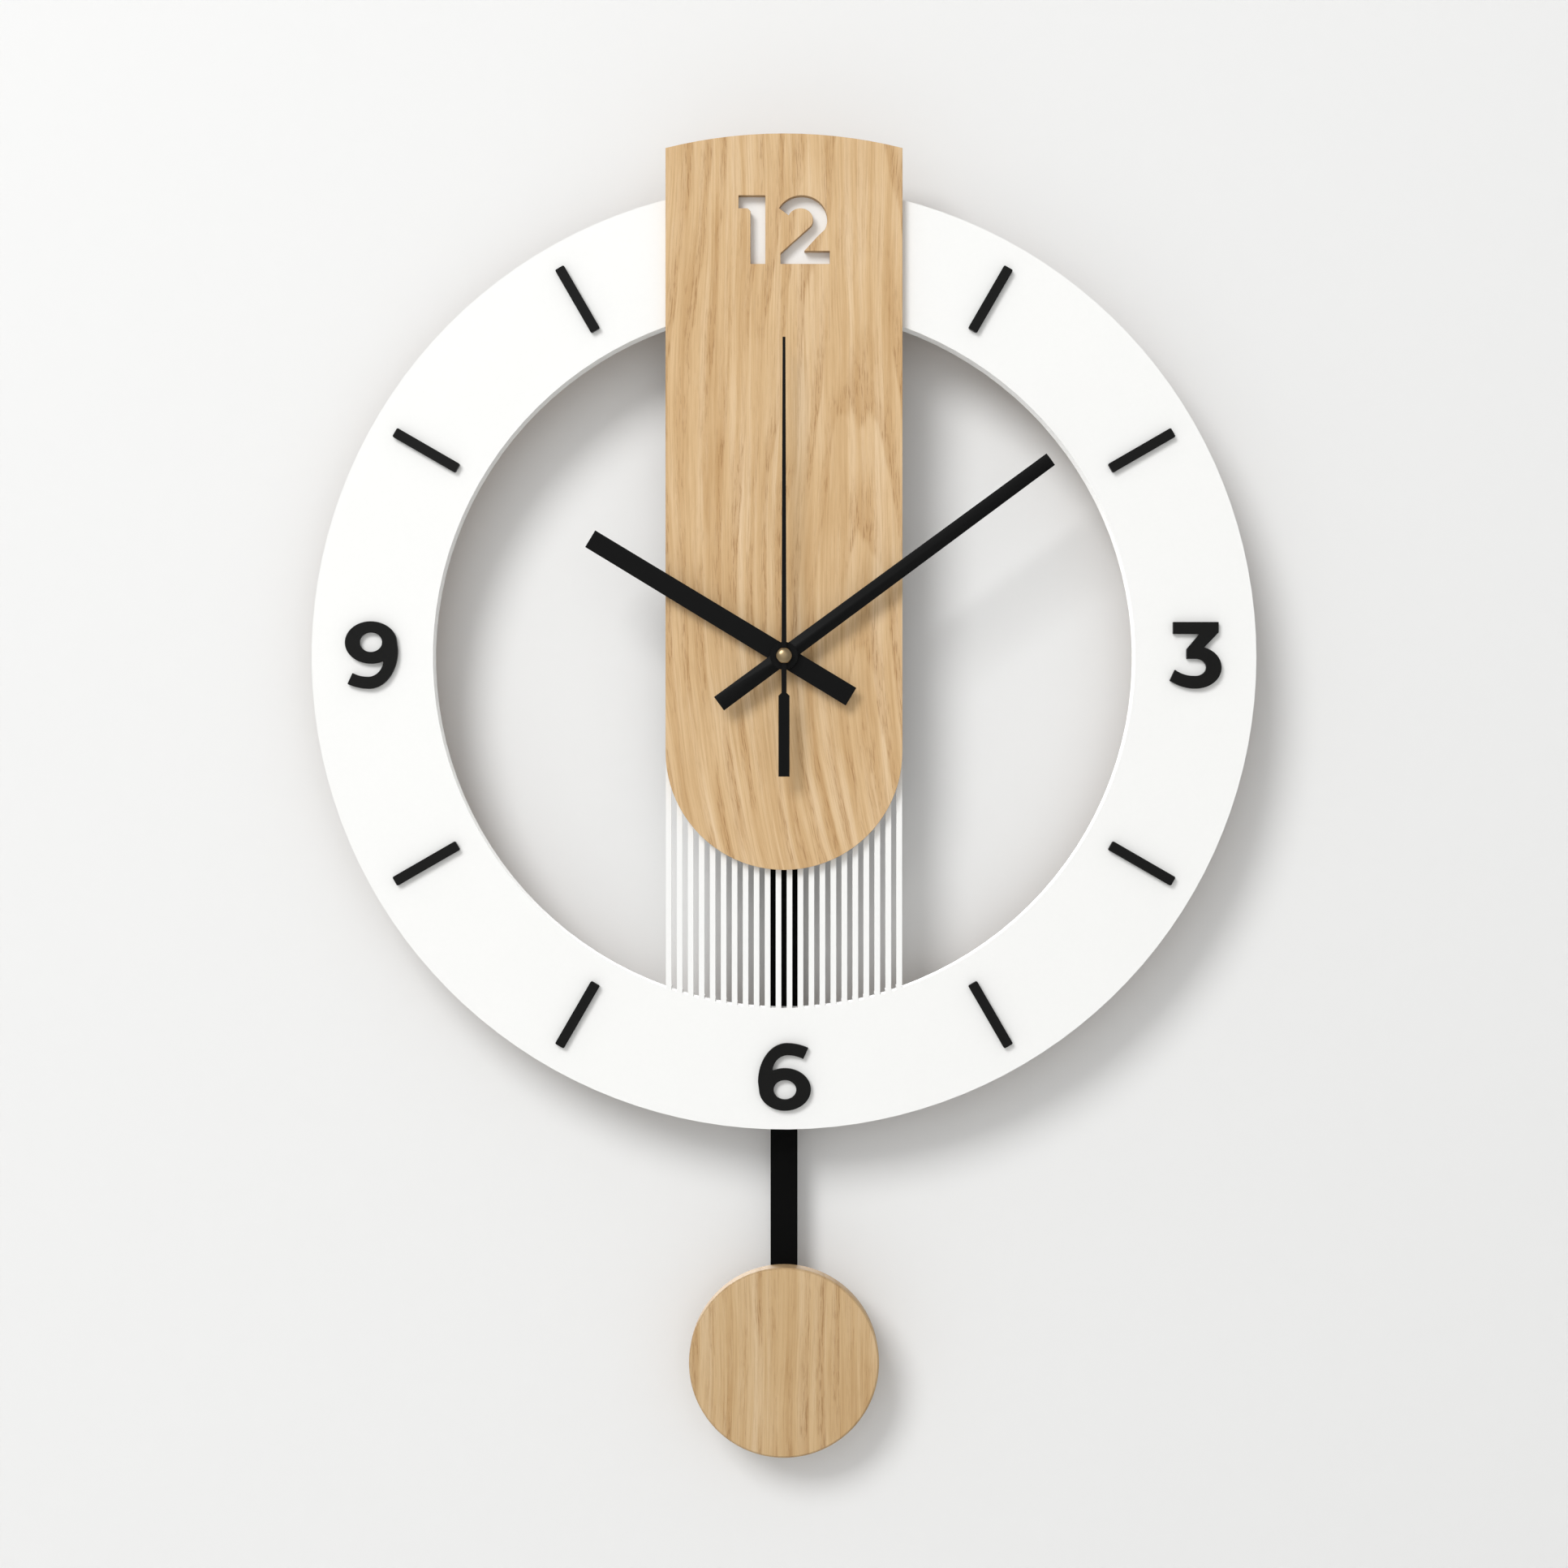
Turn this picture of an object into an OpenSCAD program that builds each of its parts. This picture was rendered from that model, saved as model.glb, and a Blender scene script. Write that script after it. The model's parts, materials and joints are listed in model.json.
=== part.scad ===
// Pendulum wall clock: a round dial board with a centre bridge that is cut into
// slats, an oak panel on the bridge, a quartz movement behind it and an oak bob
// on a flat rod. Millimetres. +Z up, the clock faces -Y, the wall is the plane
// y = 0, and the hands turn about the Y axis through the origin.
// Depths below are distances out from the wall, so depth d is the plane y = -d.

/* [Dial board] */
// outer diameter of the dial ring
dial_d = 300; // [240:1:400]
// inner diameter of the dial ring
dial_in_d = 223; // [180:1:300]
// thickness of the dial board
board_t = 9; // [6:0.5:15]
// number of slats below the panel
slat_n = 22; // [10:2:30]
// width of one slat
slat_w = 1.75; // [1:0.05:3]
// thickness of the slats, which are thinned from behind
slat_t = 2.5; // [1:0.5:8]

/* [Oak panel] */
// width of the panel and of the bridge behind it
panel_w = 75; // [60:1:100]
// height of the panel's top edge above the hand axis
panel_top = 165.6; // [150:0.1:200]
// radius of the panel's curved top edge
panel_top_r = 155; // [100:1:300]
// height of the centre of the panel's round bottom, below the hand axis
panel_low = 30; // [10:1:60]
// thickness of the panel
panel_t = 3.5; // [3.5:0.5:9]

/* [Numerals and bars] */
// thickness of the numerals and the hour bars
mark_t = 2; // [1:0.25:4]
// radius from the hand axis to the middle of a mark
mark_r = 131; // [100:1:150]
// length of an hour bar
bar_l = 23; // [10:0.5:35]
// width of an hour bar
bar_w = 3.2; // [1:0.1:8]

/* [Hands] */
// reach of the minute hand
minute_l = 104.2; // [60:0.1:120]
// angle of the minute hand, clockwise from twelve
minute_a = 53.6; // [0:0.1:360]
// reach of the hour hand
hour_l = 71.4; // [40:0.1:90]
// angle of the hour hand, clockwise from twelve
hour_a = 301.2; // [0:0.1:360]
// reach of the second hand
second_l = 100; // [60:0.1:115]

/* [Movement] */
// width of the movement case
case_w = 56; // [50:1:70]
// height of the case above the hand axis
case_up = 28; // [26:1:40]
// height of the case below the hand axis
case_dn = 54; // [52:1:80]
// depth of the case from the wall to the dial board
case_t = 17; // [17:0.5:20]
// height of the hanging hole above the hand axis
hang_z = 37; // [34:1:50]
// radius of the hanging hole
hang_r = 4; // [2:0.25:5]
// diameter of an AA cell
cell_d = 14.5; // [14.5:0.1:14.5]
// length of an AA cell
cell_l = 50.5; // [50.5:0.1:50.5]

/* [Pendulum] */
// height of the pendulum pivot below the hand axis
pivot_dn = 38; // [30:1:60]
// height of the bob's centre below the hand axis
bob_dn = 225.4; // [180:0.2:300]
// diameter of the bob
bob_d = 60.8; // [40:0.2:90]
// thickness of the bob
bob_t = 9; // [6:0.5:15]
// width of the rod
rod_w = 8.7; // [5:0.1:15]
// thickness of the rod
rod_t = 1.5; // [1:0.1:3]

/* [Hidden] */
$fn = 96;
e = 0.02;
white = "#F3F3F1";
oak = "#DEBC8E";
black = "#1C1C1B";
grey_plastic = "#3A3B3D";
natural = "#E9E6DC";
steel = "#B9BCC0";
brass_c = "#C9A765";

// depths of the layers, counted out from the wall
board_d = case_t;
panel_d = board_d + board_t;
front_d = panel_d + panel_t;
hour_d = front_d + 3.9;
minute_d = front_d + 6.1;
second_d = front_d + 8.5;

// slats
slat_p = (panel_w - slat_w) / (slat_n - 1);
slot_top_r = panel_w / 2 - 3.5;

// movement shell
wall_t = 1.5;
side_t = 1.6;
cover_d = case_t - wall_t;
cell_z = -22;
cell_depth = 8.2;
bay_up = cell_z + cell_d / 2 + 0.15;
bay_dn = cell_z - cell_d / 2 - 0.15;
rib_t = 1;
post_x = case_w / 2 - 3.6;
post_z1 = case_up - 3.6;
post_z2 = -case_dn + 3.6;
bush_r = 3.9;
bush_bore = 2.56;

// wheel train: teeth, modules and axes, seen from the front
m_hour = 0.4;
m_train = 0.36;
m_centre = 0.34;
m_rotor = 0.3;
cannon_n = 10;
minute_n = 30;
minute_p = 8;
hour_n = 32;
knob_n = 12;
centre_n = 64;
third_p = 8;
third_n = 60;
second_p = 8;
second_n = 40;
fifth_p = 8;
fifth_n = 48;
rotor_p = 8;

// where each arbor sits: angle from the arbor it meshes with
minute_dir = 60;
knob_dir = 45;
third_dir = 135;
fifth_dir = -30;
rotor_dir = 10;
minute_at = step([0, 0], minute_dir, (cannon_n + minute_n) * m_hour / 2);
knob_at = step(minute_at, knob_dir, (minute_n + knob_n) * m_hour / 2);
third_at = step([0, 0], third_dir, (centre_n + third_p) * m_centre / 2);
fifth_at = step([0, 0], fifth_dir, (second_n + fifth_p) * m_train / 2);
rotor_at = step(fifth_at, rotor_dir, (fifth_n + rotor_p) * m_rotor / 2);
third_mod = (centre_n + third_p) * m_centre / (third_n + second_p);

// levels of the wheels, each the depth of its back face
gear_t = 0.8;
lv_hour = 14.4;
lv_minute = 13.1;
lv_centre = 11.7;
lv_third = 10.3;
lv_bridge = 9.25;
lv_second = 8.1;
lv_fifth = 6.7;
lv_stator = 4.8;

// fits
run = 0.06;
second_r = 0.6;
minute_r = 1.6;
hour_r = 2.5;
pin_r = 0.75;

function step(p, a, d) = [p[0] + d * cos(a), p[1] + d * sin(a)];

// a tooth angle that meshes with a wheel of n1 teeth, one of them at a1,
// seen from that wheel's axis in direction dir
function mesh(n1, a1, n2, dir) = dir + 180 + 180 / n2 + (dir - a1) * n1 / n2;

minute_ph = mesh(cannon_n, 0, minute_n, minute_dir);

// points of an ellipse arc
function arc(cx, cy, rx, ry, a0, a1, n = 24) =
    [for (i = [0:n]) let(a = a0 + (a1 - a0) * i / n) [cx + rx * cos(a), cy + ry * sin(a)]];

// outline of a toothed wheel: root, pitch, shoulder and tip of each tooth
function tooth(rp, m, up, dn, f, a, p) =
    [for (s = [[-dn, -f[0]], [0, -f[1]], [up * 0.6, -f[2]], [up, -f[3]],
               [up, f[3]], [up * 0.6, f[2]], [0, f[1]], [-dn, f[0]]])
        (rp + s[0] * m) * [cos(a + p * s[1]), sin(a + p * s[1])]];
function wheel_pts(n, m) = [for (k = [0:n - 1])
    each tooth(n * m / 2, m, 1.0, 1.1, [0.24, 0.22, 0.165, 0.08], 360 / n * k, 360 / n)];
function pinion_pts(n, m) = [for (k = [0:n - 1])
    each tooth(n * m / 2, m, 0.7, 1.3, [0.18, 0.2, 0.16, 0.085], 360 / n * k, 360 / n)];

// a flat shape lying in the plane of the dial, from depth d outwards by t
module plate(d, t) translate([0, -d, 0]) rotate([90, 0, 0]) linear_extrude(t) children();

// a round bar along the hand axis between two depths
module bar(d0, d1, r, at = [0, 0])
    translate([at[0], -d0, at[1]]) rotate([90, 0, 0]) cylinder(h = d1 - d0, r = r);

// a box between two depths
module block(x0, x1, z0, z1, d0, d1) translate([x0, -d1, z0]) cube([x1 - x0, d1 - d0, z1 - z0]);

module round_rect(w, h, r) {
    square([w - 2 * r, h], center = true);
    square([w, h - 2 * r], center = true);
    for (x = [-1, 1], y = [-1, 1]) translate([x * (w / 2 - r), y * (h / 2 - r)]) circle(r);
}

module wheel_2d(n, m, ph = 0) rotate(ph) polygon(wheel_pts(n, m));
module pinion_2d(n, m, ph = 0) rotate(ph) polygon(pinion_pts(n, m));

// dial ring, bridge and slats are one board
module panel_outline(w, r_top, low) {
    intersection() {
        union() {
            translate([0, -low]) circle(w / 2);
            translate([-w / 2, -low]) square([w, panel_top + low]);
        }
        translate([0, panel_top - r_top]) circle(r_top);
    }
}

module slot(i) {
    x = -panel_w / 2 + slat_w + i * slat_p;
    translate([x, -dial_in_d / 2 - 2]) square([slat_p - slat_w, dial_in_d / 2]);
}

module board_outline() {
    difference() {
        union() {
            difference() {
                circle(dial_d / 2, $fn = 256);
                circle(dial_in_d / 2, $fn = 256);
            }
            intersection() {
                translate([-panel_w / 2, -dial_d / 2]) square([panel_w, dial_d]);
                circle(dial_in_d / 2 + 2, $fn = 256);
            }
        }
        intersection() {
            difference() {
                union() for (i = [0:slat_n - 2]) slot(i);
                translate([0, -panel_low]) circle(slot_top_r);
                translate([-slot_top_r, -panel_low]) square([2 * slot_top_r, panel_low * 2]);
            }
            circle(dial_in_d / 2, $fn = 256);
            translate([-panel_w / 2, -dial_in_d]) square([panel_w, dial_in_d - panel_low]);
        }
    }
}

screw_at = [for (x = [-32.8, 32.8], z = [-10, 62, 128]) [x, z]];

// hollow behind the slats
module slat_relief() difference() {
    intersection() {
        circle(dial_in_d / 2 - 1);
        translate([-panel_w / 2 - 1, -dial_in_d]) square([panel_w + 2, dial_in_d - panel_low - 3]);
    }
    translate([0, -panel_low]) circle(slot_top_r + 1.5);
}

module dial_board() {
    color(white) difference() {
        plate(board_d, board_t) board_outline();
        plate(board_d - e, board_t - slat_t + e) slat_relief();
        bar(board_d - e, panel_d + e, 4.1);
        for (p = screw_at) {
            bar(board_d - e, panel_d + e, 1.5, p);
            bar(board_d - e, board_d + 1.6, 2.9, p);
        }
    }
}

module one_2d() polygon([[-14.4, 146], [-5.9, 146], [-5.9, 124.3], [-10.6, 124.3],
    [-10.6, 141], [-11.5, 141.9], [-14.4, 141.9]]);

module two_2d() polygon(concat(
    arc(5.6, 138.4, 8.1, 7.6, 152, -25),
    [[10.7, 133.1], [6.4, 128.4], [14.5, 128.4], [14.5, 124.3], [-1.1, 124.3], [-1.1, 127.7]],
    arc(5.2, 138.3, 4, 3.6, -32, 158)));

module centre_panel() {
    color(oak) difference() {
        plate(panel_d, panel_t) difference() {
            panel_outline(panel_w, panel_top_r, panel_low);
            one_2d();
            two_2d();
        }
        bar(panel_d - e, panel_d + 2.7, 7);
        bar(panel_d, front_d + e, 4.1);
        for (p = screw_at) bar(panel_d - e, panel_d + 2.8, 1.3, p);
    }
}

module nine_2d() {
    difference() {
        polygon(concat(
            arc(0, 3.97, 8.22, 6.73, -62, -352, 58),
            arc(-0.6, 1.5, 9.15, 12.22, 0, -90),
            arc(-0.6, 5.28, 16, 16, -94, -115.2, 8),
            arc(-0.9, 3.7, 10.6, 10.6, -117.5, -94, 8),
            arc(-0.9, -1.5, 4.9, 5.4, -90, -10)));
        polygon(arc(0, 4.06, 3.58, 3.08, 0, 355, 71));
    }
}

module three_2d() polygon(concat(
    [[-7.14, 10.57], [7.29, 10.57], [7.29, 7.24], [2.71, 2.5]],
    arc(0.9, -3.9, 7.32, 6.55, 70, 0),
    arc(0.1, -3.9, 8.12, 6.67, -6, -90),
    arc(0.1, 4.18, 14.75, 14.75, -94, -124.3, 8),
    arc(-0.6, 3.55, 10.07, 10.07, -126.4, -94, 8),
    arc(-0.1, -3.81, 3.48, 2.71, -90, 90),
    [[-2.86, -1.1], [-2.86, 1.95], [1.26, 6.78], [-7.14, 6.78]]));

module numeral_9() color(black) plate(panel_d, mark_t) translate([-mark_r, 0.6]) nine_2d();
module numeral_6() color(black) plate(panel_d, mark_t)
    translate([0.3, -133.2]) rotate(180) nine_2d();
module numeral_3() color(black) plate(panel_d, mark_t) translate([130.5, 0.5]) three_2d();

module hour_bars() {
    color(black) for (h = [1, 2, 4, 5, 7, 8, 10, 11])
        plate(panel_d, mark_t) rotate(-30 * h) translate([0, mark_r])
            round_rect(bar_w, bar_l, 0.5);
}

// countersunk wood screws, driven from behind through the board into the panel
module panel_screws() {
    color(steel) for (p = screw_at) difference() {
        union() {
            bar(board_d + 0.1, board_d + 1.6, 2.8, p);
            bar(board_d + 1.5, panel_d + 2.6, 1.3, p);
        }
        block(p[0] - 2, p[0] + 2, p[1] - 0.3, p[1] + 0.3, board_d, board_d + 0.8);
        block(p[0] - 0.3, p[0] + 0.3, p[1] - 2, p[1] + 2, board_d, board_d + 0.8);
    }
}

// movement case, open towards the dial, with the cell bay open at the back
module case_outline() translate([0, (case_up - case_dn) / 2])
    round_rect(case_w, case_up + case_dn, 3);

module case_inner() translate([0, (case_up - case_dn) / 2])
    round_rect(case_w - 2 * side_t, case_up + case_dn - 2 * side_t, 1.6);

module hanger_2d() {
    tab_w = 22;
    translate([-tab_w / 2, case_up - 4]) square([tab_w, hang_z - case_up + 4]);
    translate([0, hang_z]) circle(8.5);
}

posts = [for (x = [-post_x, post_x], z = [post_z1, post_z2]) [x, z]];

module rear_case() {
    color(grey_plastic) difference() {
        union() {
            difference() {
                plate(0, cover_d) case_outline();
                plate(wall_t, case_t) case_inner();
                block(-25.6, 25.6, bay_dn, bay_up, -e, case_t);
            }
            plate(0, 3) hanger_2d();
            block(-case_w / 2 + 1, case_w / 2 - 1, bay_up, bay_up + rib_t, 0.5, cover_d);
            block(-case_w / 2 + 1, case_w / 2 - 1, bay_dn - rib_t, bay_dn, 0.5, cover_d);
            for (p = posts) bar(1, cover_d, 2.3, p);
            // pivot bosses, bridge posts and coil seats
            bar(1, 3.2, 1.6, fifth_at);
            bar(1, 3.2, 1.5, rotor_at);
            bar(1, 3.2, 1.6);
            bar(1, 3.2, 1.7, third_at);
            bar(1, 4.6, 7, knob_at);
            bar(1, lv_bridge, 0.9, bridge_post[0]);
            bar(1, lv_bridge, 0.9, bridge_post[1]);
            for (p = clock_board_at) bar(1, 2.6, 1.4, p);
            for (p = drive_board_at) bar(1, 1.9, 1.4, p);
            for (p = core_post) bar(1, lv_stator, 1.2, p);
            bar(1, 5.6, 1.6, [0, -pivot_dn]);
        }
        bar(-e, 3 + e, hang_r, [0, hang_z]);
        bar(0.8, 3.3, second_r + run, [0, 0]);
        bar(0.8, 3.3, 0.5 + run, third_at);
        bar(0.8, 3.3, 0.5 + run, fifth_at);
        bar(0.8, 3.3, 0.4 + run, rotor_at);
        // recess and bearing of the setting knob
        bar(-e, 3.2, 5.6, knob_at);
        bar(3, 5, 1.2 + run, knob_at);
        for (p = posts) {
            bar(-e, 1.6, 2, p);
            bar(-e, cover_d + e, 1.0, p);
        }
        bar(0.9, 5.7, pin_r, [0, -pivot_dn]);
        for (x = [-25.6, 25.2]) block(x, x + 0.4, bay_dn - 1.2, bay_dn + e, 3.9, 6.6);
        // slot for the pendulum lever
        block(-7, 7, -case_dn - 1, -case_dn + side_t + 1, 5.6, 9.8);
    }
}

bridge_post = [[1.5, -12.2], [18, -11.5]];
clock_board_at = [[-23.8, -10], [-23.8, 12]];
drive_board_at = [[-18, -34], [18, -34]];
core_x = 21.5;
core_post = [[core_x, -1.2], [core_x, 20.4]];

// moulded cover that carries the threaded bushing and lies against the board
module front_cover() {
    color(grey_plastic) difference() {
        union() {
            plate(cover_d, wall_t) case_outline();
            bar(lv_hour + gear_t + 0.1, cover_d + 0.1, 1.7, third_at);
            bar(lv_minute - 0.1, cover_d + 0.1, 0.6, minute_at);
            bar(lv_minute + gear_t + 0.2, cover_d + 0.1, 1.9, knob_at);
            bar(9.2, cover_d + 0.1, 1.6, [0, -pivot_dn]);
        }
        bar(cover_d - e, case_t + e, bush_r);
        bar(cover_d - e, cover_d + 0.8, 5.5);
        bar(lv_hour + gear_t, cover_d + 0.9, 0.5 + run, third_at);
        bar(lv_minute + gear_t, cover_d + 0.9, 0.7 + run, knob_at);
        bar(9, cover_d + 0.9, pin_r, [0, -pivot_dn]);
        for (p = posts) bar(cover_d - e, case_t - 0.4, 0.8, p);
    }
}

module threaded_bushing() {
    color(brass_c) difference() {
        union() {
            bar(cover_d, cover_d + 0.8, 5.5);
            bar(cover_d + 0.4, panel_d + 2.6, bush_r);
        }
        bar(cover_d - e, front_d, bush_bore);
        for (i = [0:8]) plate(panel_d - 1.5 + i * 0.45, 0.2) difference() {
            circle(bush_r + 0.2);
            circle(bush_r - 0.2);
        }
    }
}

module fixing_washer() color(steel) plate(panel_d, 0.5) difference() {
    circle(6.4);
    circle(bush_r);
}

module hex_nut() color(brass_c) plate(panel_d + 0.5, 2) difference() {
    circle(6.35, $fn = 6);
    circle(bush_r);
}

module case_screws() {
    color(steel) for (p = posts) difference() {
        union() {
            bar(0.1, 1.6, 1.9, p);
            bar(1.5, case_t - 0.5, 0.8, p);
        }
        block(p[0] - 1.3, p[0] + 1.3, p[1] - 0.25, p[1] + 0.25, 0, 0.8);
        block(p[0] - 0.25, p[0] + 0.25, p[1] - 1.3, p[1] + 1.3, 0, 0.8);
    }
}

module battery() {
    color("#5A7A52") translate([-cell_l / 2, -cell_depth, cell_z]) rotate([0, 90, 0]) {
        translate([0, 0, 0.4]) cylinder(h = cell_l - 1.8, r = cell_d / 2);
        cylinder(h = 1, r = 5);
        cylinder(h = cell_l, r = 2.7);
    }
}

module contact_positive() {
    color(steel) {
        block(25.3, 25.6, cell_z - 5.5, cell_z + 5.5, 3.5, 13.5);
        block(25.3, 25.6, bay_dn - 2.4, cell_z - 5, 4, 6.5);
    }
}

// negative contact: a plate with a conical spring stood in by stepped rings
module contact_negative() {
    color(steel) {
        block(-25.6, -25.4, cell_z - 5.5, cell_z + 5.5, 3.5, 13.5);
        block(-25.6, -25.4, bay_dn - 2.4, cell_z - 5, 4, 6.5);
        translate([-25.4, -cell_depth, cell_z]) rotate([0, 90, 0])
            rotate_extrude() translate([3.4, 0]) square([1.6, 0.15]);
    }
}

module clock_circuit() {
    color("#2F6B46") difference() {
        block(-26, -11.2, -12.6, 19, 2.6, 3.6);
        for (p = clock_board_at) bar(2, 4, 0.6, p);
    }
}

module clock_chip() color(black) bar(3.6, 4.6, 2.6, [-17, 1]);

module quartz_crystal() color(steel) translate([-14, -4.9, 8]) cylinder(h = 7.5, r = 1.3);

// stepping motor: coil on a core bar, stator with the rotor between its poles
module motor_bobbin() color(natural) difference() {
    union() {
        block(core_x - 3.7, core_x + 3.7, 2.4, 3.2, 2, 8.4);
        block(core_x - 3.7, core_x + 3.7, 17.4, 18.2, 2, 8.4);
        block(core_x - 1.6, core_x + 1.6, 3, 17.5, 4, 6.4);
    }
    block(core_x - 1.1, core_x + 1.1, 0, 20, lv_stator, lv_stator + 0.8);
}

module motor_winding() color("#B5652B") translate([core_x, -5.2, 3.2]) difference() {
    cylinder(h = 14.2, r = 3.1);
    translate([-1.6, -1.2, -1]) cube([3.2, 2.4, 18]);
}

module stator_2d() {
    r = rotor_at;
    difference() {
        union() {
            translate(r) circle(5);
            translate([r[0] - 2.4, r[1]]) square([2, 25 - r[1] - 2.8]);
            translate([r[0] - 2.4, 19.2]) square([core_x + 1.4 - r[0] + 2.4, 2.4]);
            translate([r[0], -2.4]) square([core_x + 1.4 - r[0], 2.4]);
        }
        translate(r) circle(3.4);
        translate([r[0] - 0.5, r[1] + 3]) square([1, 0.9]);
        translate([r[0] - 0.5, r[1] - 3.9]) square([1, 0.9]);
    }
}

module stator() color(steel) {
    plate(lv_stator, 0.8) stator_2d();
    block(core_x - 1.1, core_x + 1.1, -1, 20, lv_stator, lv_stator + 0.8);
}

module rotor_magnet() color("#4A4C50") difference() {
    bar(4.2, 6.2, 3, rotor_at);
    bar(4, 6.4, 0.7, rotor_at);
}

module rotor_pinion() color(natural) {
    ph = mesh(fifth_n, 0, rotor_p, rotor_dir);
    plate(lv_fifth - 0.2, gear_t + 0.4) translate(rotor_at) pinion_2d(rotor_p, m_rotor, ph);
    bar(0.9, lv_bridge + 0.7, 0.4, rotor_at);
    bar(3.4, 6.6, 0.7, rotor_at);
}

module fifth_wheel() color(natural) {
    ph = mesh(second_n, 0, fifth_p, fifth_dir);
    plate(lv_fifth, gear_t) translate(fifth_at) wheel_2d(fifth_n, m_rotor);
    plate(lv_second - 0.65, gear_t + 0.8) translate(fifth_at) pinion_2d(fifth_p, m_train, ph);
    bar(0.9, lv_bridge + 0.7, 0.5, fifth_at);
    bar(3.4, lv_fifth + 0.1, 0.9, fifth_at);
}

module second_wheel() color(natural) difference() {
    union() {
        plate(lv_second, gear_t) wheel_2d(second_n, m_train);
        plate(lv_third - 0.1, gear_t + 0.2) pinion_2d(second_p, third_mod);
        bar(3.4, lv_second + 0.1, 1.1);
        bar(lv_second, lv_third, 0.95);
    }
    bar(3, 12, second_r);
}

module second_arbor() color(steel) bar(0.9, second_d + 0.9, second_r);

module third_wheel() color(natural) {
    pw = mesh(second_p, 0, third_n, third_dir);
    pp = mesh(centre_n, 0, third_p, third_dir);
    plate(lv_third, gear_t) translate(third_at) wheel_2d(third_n, third_mod, pw);
    plate(lv_centre - 0.65, gear_t + 0.85) translate(third_at) pinion_2d(third_p, m_centre, pp);
    bar(0.9, cover_d + 0.8, 0.5, third_at);
    bar(3.4, lv_third + 0.1, 0.95, third_at);
}

// friction fit on the minute tube, so the hands can be set
module centre_wheel() color(natural) difference() {
    union() {
        plate(lv_centre, gear_t) wheel_2d(centre_n, m_centre);
        bar(lv_centre + 0.1, lv_centre + 1.1, 2);
    }
    bar(lv_centre - 1, lv_centre + 2, 1.25 + run / 2);
}

module minute_tube() color(brass_c) difference() {
    union() {
        bar(lv_centre - 0.1, lv_minute + 0.2, 1.25);
        plate(lv_minute - 0.1, gear_t + 0.2) pinion_2d(cannon_n, m_hour);
        bar(lv_minute + gear_t - 0.1, minute_d + 0.8, minute_r);
    }
    bar(lv_centre - 1, minute_d + 2, second_r + run);
}

module minute_wheel() color(natural) difference() {
    union() {
        plate(lv_minute, gear_t) translate(minute_at) wheel_2d(minute_n, m_hour, minute_ph);
        plate(lv_minute + gear_t - 0.1, 1.45) translate(minute_at) pinion_2d(minute_p, m_hour);
    }
    bar(lv_minute - 1, cover_d, 0.6 + run, minute_at);
}

module hour_wheel() {
    ph = mesh(minute_p, 0, hour_n, minute_dir + 180);
    color(natural) difference() {
        union() {
            plate(lv_hour, gear_t) wheel_2d(hour_n, m_hour, ph);
            bar(lv_hour + 0.1, hour_d + 0.6, hour_r);
        }
        bar(lv_hour - 1, hour_d + 2, minute_r + run);
    }
}

module setting_knob() color(grey_plastic) {
    ph = mesh(minute_n, minute_ph, knob_n, knob_dir);
    difference() {
        bar(0.4, 3, 5, knob_at);
        for (i = [0:23]) bar(0, 3.2, 0.35, step(knob_at, 15 * i, 5.1));
        block(knob_at[0] - 3, knob_at[0] + 3, knob_at[1] - 0.5, knob_at[1] + 0.5, 0, 1.2);
    }
    bar(2.9, lv_minute + 0.1, 1.2, knob_at);
    bar(lv_minute, cover_d + 0.8, 0.7, knob_at);
    plate(lv_minute - 0.1, gear_t + 0.2) translate(knob_at) pinion_2d(knob_n, m_hour, ph);
}

module train_bridge() color(natural) difference() {
    plate(lv_bridge, 0.8) difference() {
        union() {
            polygon([bridge_post[0] + [-1.6, -1], bridge_post[1] + [1.6, -1],
                rotor_at + [3.2, 1.6], rotor_at + [-1.2, 2.4], fifth_at + [-0.6, 2.4],
                fifth_at + [-2.4, 0], bridge_post[0] + [-1.6, 1.2]]);
        }
        translate(fifth_at) circle(0.5 + run);
        translate(rotor_at) circle(0.4 + run);
    }
}

// hands: each module is drawn pointing to twelve and turned to its angle
module turned(a) rotate([0, a, 0]) children();

module hour_hand() {
    color(black) turned(hour_a) difference() {
        union() {
            plate(hour_d, 0.6) polygon([[-3.25, -24.7], [3.25, -24.7], [3.08, hour_l],
                [-3.08, hour_l]]);
            plate(hour_d, 0.6) circle(4.1);
            bar(hour_d - 1.4, hour_d, 3.4);
        }
        bar(hour_d - 2, hour_d + 2, hour_r);
    }
}

// two facets meet in a ridge along the middle of the minute hand
module minute_hand() {
    color(black) turned(minute_a) difference() {
        union() {
            intersection() {
                plate(minute_d, 2) polygon([[-2.65, -25.4], [2.65, -25.4], [2.25, minute_l],
                    [-2.25, minute_l]]);
                translate([0, -minute_d, -30]) linear_extrude(140)
                    polygon([[-3, 0], [-3, -0.3], [0, -0.9], [3, -0.3], [3, 0]]);
            }
            bar(minute_d, minute_d + 0.9, 4.4);
            bar(minute_d - 1, minute_d, 2.6);
        }
        bar(minute_d - 2, minute_d + 2, minute_r);
    }
}

module second_hand() {
    color(black) difference() {
        union() {
            plate(second_d, 0.4) polygon([[-0.8, 0], [0.8, 0], [0.45, second_l],
                [-0.45, second_l]]);
            plate(second_d, 0.4) polygon([[-0.8, 0], [0.8, 0], [0.8, -11.7], [1.75, -12.6],
                [1.75, -38], [-1.75, -38], [-1.75, -12.6], [-0.8, -11.7]]);
            plate(second_d, 0.4) circle(2.3);
            bar(second_d - 0.9, second_d, 1.2);
        }
        bar(second_d - 2, second_d + 1, second_r);
    }
}

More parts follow.
